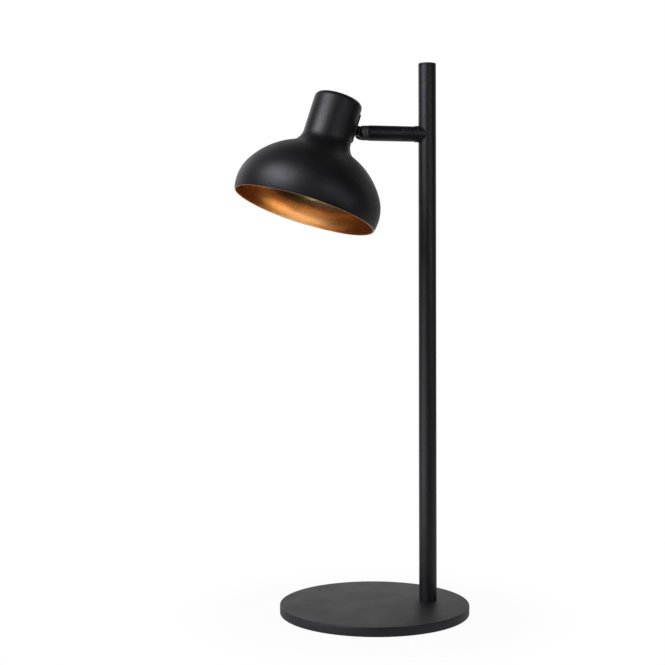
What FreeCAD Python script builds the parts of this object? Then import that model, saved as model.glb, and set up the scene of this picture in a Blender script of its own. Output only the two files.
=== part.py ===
"""Desk lamp: a round weighted base, a tall pole set off centre, and a short
swivelling arm that carries a spun shade on a tilting knuckle.

The origin is the centre of the base's underside, +Z is up, and +X points from
the base's centre to the pole. The arm points along -X. All sizes are in
millimetres and all angles in degrees. The lamp stands in the pose in which the
shade leans a little towards the pole at its top.
"""

import FreeCAD, Part
import math
import os

# Base disc, its pad and what holds the pole to it
base_radius = 85.0
base_thickness = 8.2
base_edge_round = 0.8
pad_inset = 5.0
pad_thickness = 0.8
recess_radius = 13.0
recess_floor = 2.0
foot_washer_radius = 10.5
foot_washer_thickness = 0.6
foot_nut_flats = 14.0
foot_nut_thickness = 2.2
foot_stud_radius = 5.0
foot_stud_bore = 3.5
foot_stud_reach = 14.0

# Cable groove under the base and the grommet in its mouth
groove_width = 8.4
groove_floor = 1.4
grommet_length = 11.0
grommet_bore = 2.1

# Pole
pole_inset = 34.3
pole_radius = 8.0
pole_wall = 1.5
pole_height = 487.3
foot_insert_length = 18.0
cap_thickness = 2.0
cap_edge_round = 1.0
cap_spigot_length = 6.0

# Swivel between the pole and the arm
arm_drop = 64.7
saddle_lip = 0.5
saddle_stand = 3.6
saddle_edge_round = 0.5
swivel_stud_radius = 3.0
swivel_stud_bore = 1.8
swivel_stud_tail = 1.25
swivel_head_radius = 4.6
swivel_head_thickness = 2.0
brake_washer_inset = 0.5
brake_washer_thickness = 0.4
sleeve_web = 4.0
sleeve_nut_room = 1.6
sleeve_edge_bevel = 0.3
rib_start_land = 2.55
rib_end_land = 1.55
rib_groove_width = 0.9
rib_groove_depth = 0.5
rib_groove_count = 4
spring_inset = 0.6
spring_thickness = 0.8
swivel_nut_room = 0.1265
swivel_nut_thickness = 3.2
stop_pin_radius = 0.6
stop_pin_seat = 1.6
stop_pin_reach = 1.0
stop_groove_width = 1.5
stop_groove_depth = 1.5
stop_land_width = 1.28

# Arm tube, the coupler that joins it to the sleeve, and its free length
arm_radius = 7.0
arm_wall = 1.1
coupler_length = 10.0
coupler_grip = 4.0
coupler_bore = 3.5
arm_tube_length = 29.3

# Knuckle: the fork on the arm, the tongue on the shade and the pivot between
fork_step = 0.2
fork_end_narrowing = 0.8
fork_taper_back = 2.0
fork_land = 0.9
fork_spigot_length = 10.0
fork_slot_room = 0.7
fork_flat_room = 0.6
fork_flat_depth = 1.2
lead_hole_radius = 1.4
lead_hole_rise = 3.0
tongue_thickness = 4.0
tongue_radius = 4.4
tilt_washer_radius = 4.2
tilt_washer_thickness = 0.4
pivot_radius = 2.0
pivot_head_radius = 4.2
pivot_head_height = 2.4
pivot_head_round = 1.1
pivot_slot_width = 1.6
pivot_slot_depth = 1.2
pivot_nut_flats = 7.0
pivot_nut_thickness = 3.2
pivot_tail = 0.6
bracket_width = 14.0
bracket_height = 27.0
bracket_thickness = 1.0
bracket_rise = 1.5
bracket_screw_edge = 3.4
bracket_screw_radius = 1.5
bracket_screw_head = 2.6
bracket_screw_head_height = 1.5
bracket_low_margin = 3.05
bracket_high_margin = 8.6
knuckle_gap = 0.55

# Shade, measured from the plane of its rim along its own axis
shade_wall = 1.0
shade_radius = 65.9
shade_widest_height = 10.1
shade_lower_radius = 36.4
shade_upper_radius = 67.0
shade_flare_radius = 15.2
neck_radius = 22.0
neck_top_round = 5.2
neck_crown_radius = 170.0

# Lamp holder and lamp inside the neck
strap_thickness = 1.2
strap_width = 12.0
strap_foot_gap = 1.85
strap_drop = 7.1
strap_overhang = 9.0
holder_radius = 13.5
holder_height = 16.9
holder_edge_bevel = 0.8
holder_screw_radius = 1.4
holder_screw_head = 2.7
holder_screw_head_height = 1.8
holder_screw_depth = 6.0
holder_screw_spread = 5.5
contact_radius = 2.6
contact_spread = 5.0
contact_depth = 7.5
lamp_length = 50.0
lamp_base_radius = 13.0
lamp_base_height = 12.0
lamp_front_radius = 25.0
lamp_front_height = 9.0
lamp_pin_radius = 2.3
lamp_pin_length = 6.5
lens_radius = 22.5
lens_thickness = 2.5
lens_recess = 3.0

# Leads inside the lamp
lead_radius = 1.1
lead_bend = 4.0
lead_entry_gap = 0.25
lead_base_run = 12.0
lead_base_lift = 0.15
lead_end_gap = 0.5
lead_wave_run = 9.0
lead_wave_bend = 12.0

# Clearances: pieces that are fixed together, and pieces that turn
seat_gap = 0.05
turn_gap = 0.05
cut_overrun = 2.0

# Angles of the photographed pose and of the stops
head_tilt = 19.0
arm_roll = 4.7
shade_lower_angle = 29.7

X_AXIS = FreeCAD.Vector(1, 0, 0)
Y_AXIS = FreeCAD.Vector(0, 1, 0)
Z_AXIS = FreeCAD.Vector(0, 0, 1)
ORIGIN = FreeCAD.Vector(0, 0, 0)

# Base and pole, worked out from the sizes above
base_top = pad_thickness + base_thickness
pad_radius = base_radius - pad_inset
recess_depth = base_thickness - recess_floor
groove_depth = base_thickness - groove_floor
pole_offset = base_radius - pole_inset
pole_top = base_top + pole_height
pole_inner = pole_radius - pole_wall

# Swivel, as radii and as distances from the pole's axis
arm_axis_height = pole_top - arm_drop
arm_inner = arm_radius - arm_wall
saddle_radius = arm_radius + saddle_lip
saddle_reach = pole_radius + saddle_stand
brake_washer_radius = arm_radius - brake_washer_inset
spring_radius = arm_inner - spring_inset
swivel_nut_flats = (arm_inner - swivel_nut_room) * math.sqrt(3)
stop_ring_radius = (swivel_stud_radius + arm_radius) / 2
sleeve_start = saddle_reach + brake_washer_thickness + 2 * turn_gap
spring_start = sleeve_start + sleeve_web + turn_gap
swivel_nut_start = spring_start + spring_thickness + turn_gap
swivel_nut_end = swivel_nut_start + swivel_nut_thickness
swivel_stud_start = pole_inner - seat_gap - swivel_head_thickness
swivel_stud_end = swivel_nut_end + swivel_stud_tail
coupler_start = swivel_nut_end + sleeve_nut_room
sleeve_end = coupler_start + coupler_grip
sleeve_length = sleeve_end - sleeve_start
rib_span = sleeve_length - rib_start_land - rib_end_land - rib_groove_width
rib_pitch = rib_span / (rib_groove_count - 1)

# Knuckle
fork_radius = arm_radius - fork_step
fork_end_radius = fork_radius - fork_end_narrowing
fork_flat = fork_radius - fork_flat_depth
fork_slot_back = tongue_radius + fork_slot_room
fork_flat_back = pivot_head_radius + fork_flat_room
fork_start = sleeve_end + arm_tube_length + 2 * seat_gap
pivot_reach = fork_start + fork_slot_back + fork_land
slot_half = tongue_thickness / 2 + tilt_washer_thickness + 2 * turn_gap
neck_inner = neck_radius - shade_wall
bracket_inner = neck_radius + seat_gap
bracket_outer = bracket_inner + bracket_thickness
bracket_screw_spread = bracket_height / 2 - bracket_screw_edge
bracket_screw_low = bracket_rise + bracket_screw_spread - bracket_screw_radius
bracket_lead_rise = (tongue_radius + bracket_screw_low) / 2
pivot_from_neck_axis = bracket_outer + knuckle_gap + fork_end_radius

# Shade: centres of its arcs, as distances from its axis and heights above its rim
knee_turn = math.radians(shade_lower_angle)
lower_centre_r = shade_radius - shade_lower_radius
upper_step = shade_lower_radius - shade_upper_radius
upper_centre_r = lower_centre_r + upper_step * math.cos(knee_turn)
upper_centre_height = shade_widest_height + upper_step * math.sin(knee_turn)
flare_centre_r = neck_radius + shade_flare_radius
flare_span = shade_upper_radius + shade_flare_radius
flare_height = upper_centre_height + math.sqrt(flare_span ** 2 - (flare_centre_r - upper_centre_r) ** 2)
shade_height = flare_height + bracket_low_margin + bracket_height + bracket_high_margin
pivot_above_rim = flare_height + bracket_low_margin + bracket_height / 2 - bracket_rise

# Lamp holder
strap_outer = neck_inner - seat_gap
strap_inner = strap_outer - strap_thickness
strap_foot = flare_height + strap_foot_gap
strap_top = shade_height - strap_drop
holder_top = strap_top - strap_thickness - seat_gap
holder_base = holder_top - holder_height
lamp_top = holder_base - seat_gap


def vector(x, y, z):
    """A point or direction."""
    return FreeCAD.Vector(x, y, z)


def rod(radius, start, length, axis):
    """A cylinder from a point along an axis."""
    return Part.makeCylinder(radius, length, start, axis)


def ring(outer, inner, start, length, axis):
    """A tube, bored right through."""
    bore_start = start - axis * cut_overrun
    bore = rod(inner, bore_start, length + 2 * cut_overrun, axis)
    return rod(outer, start, length, axis).cut(bore)


def block(x_low, x_high, half_width, z_low, z_high):
    """A box that is centred on the plane y = 0."""
    corner = vector(x_low, -half_width, z_low)
    return Part.makeBox(x_high - x_low, 2 * half_width, z_high - z_low, corner)


def hexagon(flats, start, thickness, axis):
    """A hexagonal prism, given across its flats, from a point along an axis."""
    corner_radius = flats / math.sqrt(3)
    side = Y_AXIS if axis.cross(Y_AXIS).Length > 0 else Z_AXIS
    other = axis.cross(side)
    corners = []
    for step in range(7):
        turn = math.radians(60 * step)
        corners.append(start + side * (corner_radius * math.cos(turn)) + other * (corner_radius * math.sin(turn)))
    face = Part.Face(Part.makePolygon(corners))
    return face.extrude(axis * thickness)


def nut(flats, bore, start, thickness, axis):
    """A hexagon nut with its bore."""
    hole = rod(bore, start - axis * cut_overrun, thickness + 2 * cut_overrun, axis)
    return hexagon(flats, start, thickness, axis).cut(hole)


def end_edges(solid, axis, places):
    """The widest circular edges, those whose centres lie at the given places along an axis."""
    edges = []
    widest = 0
    for edge in solid.Edges:
        if edge.Curve.TypeId == "Part::GeomCircle":
            widest = max(widest, edge.Curve.Radius)
    for edge in solid.Edges:
        if edge.Curve.TypeId != "Part::GeomCircle":
            continue
        if edge.Curve.Radius < widest - seat_gap / 2:
            continue
        along = edge.Curve.Center.dot(axis)
        if min(abs(along - place) for place in places) < seat_gap / 2:
            edges.append(edge)
    return edges


def lead(points, bends, radius):
    """A round lead along straight runs that tangent arcs join."""
    edges = []
    last = points[0]
    for index, bend in enumerate(bends):
        corner = points[index + 1]
        into = (corner - points[index]).normalize()
        out = (points[index + 2] - corner).normalize()
        turn = into.getAngle(out)
        back = bend * math.tan(turn / 2)
        first = corner - into * back
        third = corner + out * back
        middle = (out - into).normalize()
        second = corner + middle * (bend / math.cos(turn / 2) - bend)
        edges.append(Part.LineSegment(last, first).toShape())
        edges.append(Part.Arc(first, second, third).toShape())
        last = third
    edges.append(Part.LineSegment(last, points[-1]).toShape())
    path = Part.Wire(edges)
    direction = (points[1] - points[0]).normalize()
    section = Part.Wire(Part.makeCircle(radius, points[0], direction))
    return path.makePipeShell([section], True, False)


def on_stand(shape):
    """Moves a shape from the pole's own axis and the arm's height to its place."""
    placed = shape.copy()
    placed.translate(vector(pole_offset, 0, arm_axis_height))
    return placed


def on_arm(shape):
    """Turns a shape about the arm's axis by the arm's roll, then places it."""
    placed = shape.copy()
    placed.rotate(ORIGIN, X_AXIS, -arm_roll)
    return on_stand(placed)


def on_head(shape):
    """Tilts a shape of the head about the pivot, then places it on the arm."""
    placed = shape.copy()
    placed.rotate(ORIGIN, Y_AXIS, head_tilt)
    placed.translate(vector(-pivot_reach, 0, 0))
    return on_arm(placed)


def head_point(radial, height):
    """A point of the head in the pivot's frame, from its own axis and rim."""
    return vector(radial - pivot_from_neck_axis, 0, height - pivot_above_rim)


# Base and pole


def base_plate():
    """The steel disc, with the nut's recess and the cable's groove beneath."""
    disc = rod(base_radius, vector(0, 0, pad_thickness), base_thickness, Z_AXIS)
    disc = disc.makeFillet(base_edge_round, end_edges(disc, Z_AXIS, [pad_thickness, base_top]))
    below = pad_thickness - cut_overrun
    recess = rod(recess_radius, vector(pole_offset, 0, below), recess_depth + cut_overrun, Z_AXIS)
    hole_length = base_thickness + 2 * cut_overrun
    hole = rod(foot_stud_radius + seat_gap, vector(pole_offset, 0, below), hole_length, Z_AXIS)
    groove_top = pad_thickness + groove_depth
    groove = block(pole_offset + recess_radius / 2, base_radius + cut_overrun, groove_width / 2, below, groove_top)
    return disc.cut(recess).cut(hole).cut(groove)


def base_pad():
    """The thin pad that the lamp stands on."""
    return rod(pad_radius, ORIGIN, pad_thickness, Z_AXIS)


def cable_grommet():
    """The sleeve in the groove's mouth that the mains lead enters through."""
    low = pad_thickness + seat_gap
    high = pad_thickness + groove_depth - seat_gap
    start = base_radius - grommet_length
    body = block(start, base_radius, groove_width / 2 - seat_gap, low, high)
    disc = rod(base_radius - seat_gap, vector(0, 0, low), high - low, Z_AXIS)
    body = body.common(disc)
    bore_start = vector(start - cut_overrun, 0, pad_thickness + groove_depth / 2)
    bore = rod(grommet_bore, bore_start, grommet_length + 2 * cut_overrun, X_AXIS)
    return body.cut(bore)


def foot_washer():
    """The washer between the base and its nut."""
    top = pad_thickness + recess_depth - seat_gap
    start = vector(pole_offset, 0, top - foot_washer_thickness)
    return ring(foot_washer_radius, foot_stud_radius + seat_gap, start, foot_washer_thickness, Z_AXIS)


def foot_nut():
    """The nut that pulls the pole down on the base."""
    top = pad_thickness + recess_depth - foot_washer_thickness - 2 * seat_gap
    start = vector(pole_offset, 0, top - foot_nut_thickness)
    return nut(foot_nut_flats, foot_stud_radius + seat_gap, start, foot_nut_thickness, Z_AXIS)


def foot_stud():
    """The hollow stud through the base that carries the lead up into the pole."""
    low = pad_thickness + recess_depth - foot_washer_thickness - foot_nut_thickness - 2 * seat_gap
    length = base_top + foot_stud_reach - low
    return ring(foot_stud_radius, foot_stud_bore, vector(pole_offset, 0, low), length, Z_AXIS)


def foot_insert():
    """The threaded plug in the pole's lower end."""
    start = vector(pole_offset, 0, base_top + seat_gap)
    outer = pole_inner - seat_gap
    return ring(outer, foot_stud_radius + seat_gap, start, foot_insert_length, Z_AXIS)


def pole_tube():
    """The pole, with the swivel stud's hole in the wall that faces the arm."""
    length = pole_height - cap_thickness - seat_gap
    tube = ring(pole_radius, pole_inner, vector(pole_offset, 0, base_top), length, Z_AXIS)
    hole = rod(swivel_stud_radius + seat_gap, ORIGIN, pole_radius + cut_overrun, -X_AXIS)
    return tube.cut(on_stand(hole))


def pole_cap():
    """The plug that closes the pole's top."""
    low = pole_top - cap_thickness
    head = rod(pole_radius, vector(pole_offset, 0, low), cap_thickness, Z_AXIS)
    head = head.makeFillet(cap_edge_round, end_edges(head, Z_AXIS, [pole_top]))
    spigot = rod(pole_inner - seat_gap, vector(pole_offset, 0, low - cap_spigot_length), cap_spigot_length, Z_AXIS)
    return head.fuse(spigot).removeSplitter()


# Swivel between the pole and the arm


def along_arm(reach):
    """A point on the arm's axis at a distance from the pole's axis."""
    return vector(-reach, 0, 0)


def stop_pin_rod(radius, start, end):
    """A rod at the stop pin's place, between two distances from the pole."""
    return rod(radius, vector(-start, 0, stop_ring_radius), end - start, -X_AXIS)


def arm_saddle():
    """The collar that is coped to the pole's round and welded to it."""
    collar = rod(saddle_radius, ORIGIN, saddle_reach, -X_AXIS)
    collar = collar.makeFillet(saddle_edge_round, end_edges(collar, -X_AXIS, [saddle_reach]))
    pole_low = vector(0, 0, -saddle_radius - cut_overrun)
    pole = rod(pole_radius + seat_gap, pole_low, 2 * (saddle_radius + cut_overrun), Z_AXIS)
    bore = rod(swivel_stud_radius + seat_gap, ORIGIN, saddle_reach + cut_overrun, -X_AXIS)
    seat = stop_pin_rod(stop_pin_radius + seat_gap, saddle_reach - stop_pin_seat, saddle_reach + cut_overrun)
    return on_stand(collar.cut(pole).cut(bore).cut(seat))


def stop_pin():
    """The pin that ends the arm's turn in the sleeve's groove."""
    start = saddle_reach - stop_pin_seat + seat_gap
    return on_stand(stop_pin_rod(stop_pin_radius, start, sleeve_start + stop_pin_reach))


def swivel_stud():
    """The hollow bolt from inside the pole that the sleeve turns on."""
    shank = rod(swivel_stud_radius, along_arm(swivel_stud_start), swivel_stud_end - swivel_stud_start, -X_AXIS)
    head = rod(swivel_head_radius, along_arm(swivel_stud_start), swivel_head_thickness, -X_AXIS)
    pole_low = vector(0, 0, -pole_radius)
    inside = rod(pole_inner - seat_gap, pole_low, 2 * pole_radius, Z_AXIS)
    bore = rod(swivel_stud_bore, ORIGIN, swivel_stud_end + cut_overrun, -X_AXIS)
    return on_stand(shank.fuse(head.common(inside)).cut(bore))


def brake_washer():
    """The friction washer between the saddle and the sleeve."""
    start = along_arm(saddle_reach + turn_gap)
    disc = ring(brake_washer_radius, swivel_stud_radius + seat_gap, start, brake_washer_thickness, -X_AXIS)
    hole = stop_pin_rod(stop_pin_radius + seat_gap, ORIGIN.x, sleeve_start + cut_overrun)
    return on_stand(disc.cut(hole))


def swivel_sleeve():
    """The ribbed grip, with its bearing web and the groove for the stop pin."""
    body = rod(arm_radius, along_arm(sleeve_start), sleeve_length, -X_AXIS)
    body = body.makeChamfer(sleeve_edge_bevel, end_edges(body, -X_AXIS, [sleeve_start, sleeve_end]))
    bore_radius = swivel_stud_radius + turn_gap
    body = body.cut(rod(bore_radius, ORIGIN, sleeve_end + cut_overrun, -X_AXIS))
    chamber = rod(arm_inner, along_arm(sleeve_start + sleeve_web), sleeve_length, -X_AXIS)
    body = body.cut(chamber)
    first = sleeve_start + rib_start_land
    for index in range(rib_groove_count):
        start = along_arm(first + index * rib_pitch)
        outer = arm_radius + cut_overrun
        body = body.cut(ring(outer, arm_radius - rib_groove_depth, start, rib_groove_width, -X_AXIS))
    inner = stop_ring_radius - stop_groove_width / 2
    groove_start = along_arm(sleeve_start - cut_overrun)
    groove_length = stop_groove_depth + cut_overrun
    groove = ring(inner + stop_groove_width, inner, groove_start, groove_length, -X_AXIS)
    land = block(-sleeve_end, ORIGIN.x, stop_land_width / 2, -arm_radius, ORIGIN.z)
    return on_arm(body.cut(groove.cut(land)))


def swivel_spring():
    """The spring washer that keeps the swivel tight."""
    bore = swivel_stud_radius + seat_gap
    return on_stand(ring(spring_radius, bore, along_arm(spring_start), spring_thickness, -X_AXIS))


def swivel_nut():
    """The nut on the swivel stud."""
    bore = swivel_stud_radius + seat_gap
    return on_stand(nut(swivel_nut_flats, bore, along_arm(swivel_nut_start), swivel_nut_thickness, -X_AXIS))


def sleeve_coupler():
    """The bush that joins the sleeve to the arm's tube from inside."""
    outer = arm_inner - seat_gap
    return on_arm(ring(outer, coupler_bore, along_arm(coupler_start), coupler_length, -X_AXIS))


def arm_tube():
    """The arm's tube between the sleeve and the fork."""
    start = sleeve_end + seat_gap
    return on_arm(ring(arm_radius, arm_inner, along_arm(start), arm_tube_length, -X_AXIS))


# Knuckle


def fork_outline():
    """The fork's side view, as a prism: straight sides that taper to the round end."""
    reach = math.hypot(fork_taper_back, fork_radius)
    turn = math.atan2(fork_radius, fork_taper_back) + math.acos(fork_end_radius / reach)
    touch_x = fork_end_radius * math.cos(turn) - pivot_reach
    touch_z = fork_end_radius * math.sin(turn)
    taper_x = fork_taper_back - pivot_reach
    side = -arm_radius
    tip = vector(-pivot_reach - fork_end_radius, side, 0)
    low = vector(touch_x, side, -touch_z)
    high = vector(touch_x, side, touch_z)
    corners = [high, vector(taper_x, side, fork_radius), vector(0, side, fork_radius)]
    corners += [vector(0, side, -fork_radius), vector(taper_x, side, -fork_radius), low]
    edges = [Part.Arc(low, tip, high).toShape()]
    for first, second in zip(corners, corners[1:]):
        edges.append(Part.LineSegment(first, second).toShape())
    face = Part.Face(Part.Wire(edges))
    return face.extrude(Y_AXIS * (2 * arm_radius))


def arm_fork():
    """The slotted end of the arm, rounded about the pivot."""
    body = rod(fork_radius, along_arm(fork_start), pivot_reach + fork_end_radius - fork_start, -X_AXIS)
    nose_start = vector(-pivot_reach, -arm_radius, 0)
    body = body.common(fork_outline())
    tip = -pivot_reach - fork_end_radius - cut_overrun
    body = body.cut(block(tip, -pivot_reach + fork_slot_back, slot_half, -arm_radius, arm_radius))
    reach = fork_flat_back + fork_end_radius + cut_overrun
    for side in (-arm_radius - fork_flat, fork_flat):
        corner = vector(tip, side, -arm_radius)
        body = body.cut(Part.makeBox(reach, arm_radius, 2 * arm_radius, corner))
    hole = rod(pivot_radius + seat_gap, nose_start, 2 * arm_radius, Y_AXIS)
    body = body.cut(hole)
    spigot_start = along_arm(fork_start - fork_spigot_length)
    spigot = rod(arm_inner - seat_gap, spigot_start, fork_spigot_length, -X_AXIS)
    bore = rod(lead_hole_radius, vector(0, 0, lead_hole_rise), pivot_reach, -X_AXIS)
    return on_arm(body.fuse(spigot).removeSplitter().cut(bore))


def at_pivot(shape):
    """Places a shape of the pivot, made about the origin, on the arm."""
    placed = shape.copy()
    placed.translate(along_arm(pivot_reach))
    return on_arm(placed)


def pivot_screw():
    """The slotted screw that the shade tilts about."""
    head_low = -fork_flat - seat_gap - pivot_head_height
    head = rod(pivot_head_radius, vector(0, head_low, 0), pivot_head_height, Y_AXIS)
    head = head.makeFillet(pivot_head_round, end_edges(head, Y_AXIS, [head_low]))
    slot = block(-pivot_slot_width / 2, pivot_slot_width / 2, fork_flat, -pivot_head_radius, pivot_head_radius)
    slot.translate(vector(0, head_low + pivot_slot_depth - fork_flat, 0))
    tail = fork_flat + seat_gap + pivot_nut_thickness + pivot_tail
    shank = rod(pivot_radius, vector(0, -fork_flat - seat_gap, 0), fork_flat + seat_gap + tail, Y_AXIS)
    return at_pivot(head.cut(slot).fuse(shank))


def pivot_nut():
    """The nut at the far side of the fork."""
    start = vector(0, fork_flat + seat_gap, 0)
    return at_pivot(nut(pivot_nut_flats, pivot_radius + seat_gap, start, pivot_nut_thickness, Y_AXIS))


def tilt_washers():
    """The two friction washers beside the tongue."""
    near = tongue_thickness / 2 + turn_gap
    bore = pivot_radius + seat_gap
    right = ring(tilt_washer_radius, bore, vector(0, near, 0), tilt_washer_thickness, Y_AXIS)
    left_start = vector(0, -near - tilt_washer_thickness, 0)
    left = ring(tilt_washer_radius, bore, left_start, tilt_washer_thickness, Y_AXIS)
    return at_pivot(Part.makeCompound([left, right]))


def bracket_screw_heights():
    """Heights of the bracket's two screws from the pivot."""
    return [bracket_rise - bracket_screw_spread, bracket_rise + bracket_screw_spread]


def radial_rod(radius, inner, outer, height):
    """A rod that points outward from the neck's axis, at a height from the pivot."""
    start = vector(inner - pivot_from_neck_axis, 0, height)
    return rod(radius, start, outer - inner, X_AXIS)


def neck_shell(outer, inner, low, high):
    """A tube about the neck's axis between two heights from the pivot."""
    return ring(outer, inner, vector(-pivot_from_neck_axis, 0, low), high - low, Z_AXIS)


def neck_bracket():
    """The curved plate on the neck with the tongue that the fork holds."""
    half = bracket_height / 2
    shell = neck_shell(bracket_outer, bracket_inner, bracket_rise - half, bracket_rise + half)
    straight = half - bracket_width / 2
    near = bracket_inner - pivot_from_neck_axis - cut_overrun
    outline = block(near, ORIGIN.x, bracket_width / 2, bracket_rise - straight, bracket_rise + straight)
    for height in (bracket_rise - straight, bracket_rise + straight):
        outline = outline.fuse(rod(bracket_width / 2, vector(near, 0, height), -near, X_AXIS))
    plate = shell.common(outline)
    root = bracket_inner + bracket_thickness / 2 - pivot_from_neck_axis
    tongue = block(root, ORIGIN.x, tongue_thickness / 2, -tongue_radius, tongue_radius)
    eye = rod(tongue_radius, vector(0, -tongue_thickness / 2, 0), tongue_thickness, Y_AXIS)
    bracket = plate.fuse(tongue).fuse(eye).removeSplitter()
    side = vector(0, -tongue_thickness, 0)
    bracket = bracket.cut(rod(pivot_radius + turn_gap, side, 2 * tongue_thickness, Y_AXIS))
    for height in bracket_screw_heights():
        bracket = bracket.cut(radial_rod(bracket_screw_radius + seat_gap, neck_inner, pivot_from_neck_axis, height))
    hole = radial_rod(lead_hole_radius, neck_inner, pivot_from_neck_axis, bracket_lead_rise)
    return on_head(bracket.cut(hole))


def bracket_screws():
    """The two screws from inside the neck into the bracket."""
    screws = []
    seat = math.sqrt(strap_inner ** 2 - bracket_screw_head ** 2) - seat_gap
    for height in bracket_screw_heights():
        shank = radial_rod(bracket_screw_radius, seat, bracket_outer, height)
        head = radial_rod(bracket_screw_head, seat - bracket_screw_head_height, seat, height)
        screws.append(shank.fuse(head))
    return on_head(Part.makeCompound(screws))


# Shade


def shade_centres():
    """Centres of the shade's arcs, as (distance from axis, height above rim)."""
    lower = (lower_centre_r, shade_widest_height)
    upper = (upper_centre_r, upper_centre_height)
    flare = (flare_centre_r, flare_height)
    crown = (0, shade_height - neck_crown_radius)
    corner_r = neck_radius - neck_top_round
    reach = neck_crown_radius - neck_top_round
    corner = (corner_r, crown[1] + math.sqrt(reach ** 2 - corner_r ** 2))
    return lower, upper, flare, corner, crown


def bearing(centre, target):
    """Angle of the line from one arc's centre to another's."""
    return math.atan2(target[1] - centre[1], target[0] - centre[0])


def arc_edge(centre, radius, start, end):
    """One arc of the shade's profile, in the pivot's frame."""
    points = []
    for turn in (start, (start + end) / 2, end):
        points.append(head_point(centre[0] + radius * math.cos(turn), centre[1] + radius * math.sin(turn)))
    return Part.Arc(*points).toShape()


def shade_profile(inset):
    """The profile's edges from the rim to the axis, set in by a wall's thickness."""
    lower, upper, flare, corner, crown = shade_centres()
    rim = -math.asin(shade_widest_height / shade_lower_radius)
    shoulder = bearing(upper, flare)
    top = bearing(crown, corner)
    edges = [
        arc_edge(lower, shade_lower_radius - inset, rim, knee_turn),
        arc_edge(upper, shade_upper_radius - inset, knee_turn, shoulder),
        arc_edge(flare, shade_flare_radius + inset, shoulder + math.pi, math.pi),
    ]
    wall = neck_radius - inset
    edges.append(Part.LineSegment(head_point(wall, flare[1]), head_point(wall, corner[1])).toShape())
    edges.append(arc_edge(corner, neck_top_round - inset, 0, top))
    edges.append(arc_edge(crown, neck_crown_radius - inset, top, math.pi / 2))
    return edges


def rim_edge():
    """The half round that closes the wall at the rim."""
    lower = shade_centres()[0]
    rim = -math.asin(shade_widest_height / shade_lower_radius)
    middle = shade_lower_radius - shade_wall / 2
    across = (math.cos(rim), math.sin(rim))
    centre = (lower[0] + middle * across[0], lower[1] + middle * across[1])
    return arc_edge(centre, shade_wall / 2, rim, rim - math.pi)


def shade():
    """The spun shade: neck, flare and dome in one wall."""
    outer = shade_profile(0)
    inner = shade_profile(shade_wall)
    close = Part.LineSegment(head_point(0, shade_height), head_point(0, shade_height - shade_wall)).toShape()
    edges = Part.sortEdges(outer + inner + [rim_edge(), close])[0]
    face = Part.Face(Part.Wire(edges))
    shell = face.revolve(vector(-pivot_from_neck_axis, 0, 0), Z_AXIS, 360)
    for height in bracket_screw_heights():
        shell = shell.cut(radial_rod(bracket_screw_radius + seat_gap, strap_inner, pivot_from_neck_axis, height))
    hole = radial_rod(lead_hole_radius, strap_inner, pivot_from_neck_axis, bracket_lead_rise)
    return on_head(shell.cut(hole))


# Lamp holder and lamp


def from_rim(height):
    """A height above the rim, counted from the pivot."""
    return height - pivot_above_rim


def axis_rod(radius, offset, side, low, high):
    """A rod along the shade's axis, set off from it, between two heights."""
    start = vector(offset - pivot_from_neck_axis, side, from_rim(low))
    return rod(radius, start, high - low, Z_AXIS)


def holder_strap():
    """The bent strap inside the neck that carries the lamp holder."""
    leg = neck_shell(strap_outer, strap_inner, from_rim(strap_foot), from_rim(strap_top))
    half = strap_width / 2
    facing = block(-pivot_from_neck_axis, ORIGIN.x, half, from_rim(strap_foot), from_rim(strap_top))
    leg = leg.common(facing)
    far = -strap_overhang - pivot_from_neck_axis
    shelf = block(far, ORIGIN.x, half, from_rim(strap_top - strap_thickness), from_rim(strap_top))
    shelf = shelf.common(axis_rod(strap_outer, 0, 0, strap_foot, shade_height))
    strap = leg.fuse(shelf).removeSplitter()
    for height in bracket_screw_heights():
        strap = strap.cut(radial_rod(bracket_screw_radius + seat_gap, holder_radius, neck_radius, height))
    strap = strap.cut(radial_rod(lead_hole_radius, holder_radius, neck_radius, bracket_lead_rise))
    for offset in (-holder_screw_spread, holder_screw_spread):
        strap = strap.cut(axis_rod(holder_screw_radius + seat_gap, offset, 0, holder_base, shade_height))
    return on_head(strap)


def lamp_holder():
    """The ceramic holder that the lamp's two pins lock into."""
    body = axis_rod(holder_radius, 0, 0, holder_base, holder_top)
    places = [from_rim(holder_base), from_rim(holder_top)]
    body = body.makeChamfer(holder_edge_bevel, end_edges(body, Z_AXIS, places))
    for side in (-contact_spread, contact_spread):
        well = axis_rod(contact_radius, 0, side, holder_base - cut_overrun, holder_base + contact_depth)
        body = body.cut(well)
    for offset in (-holder_screw_spread, holder_screw_spread):
        radius = holder_screw_radius + seat_gap
        low = holder_top - holder_screw_depth - seat_gap
        body = body.cut(axis_rod(radius, offset, 0, low, holder_top + cut_overrun))
    return on_head(body)


def holder_screws():
    """The two screws that hold the lamp holder under its strap."""
    screws = []
    for offset in (-holder_screw_spread, holder_screw_spread):
        low = holder_top - holder_screw_depth
        seat = strap_top + seat_gap
        shank = axis_rod(holder_screw_radius, offset, 0, low, seat)
        head = axis_rod(holder_screw_head, offset, 0, seat, seat + holder_screw_head_height)
        screws.append(shank.fuse(head))
    return on_head(Part.makeCompound(screws))


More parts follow.
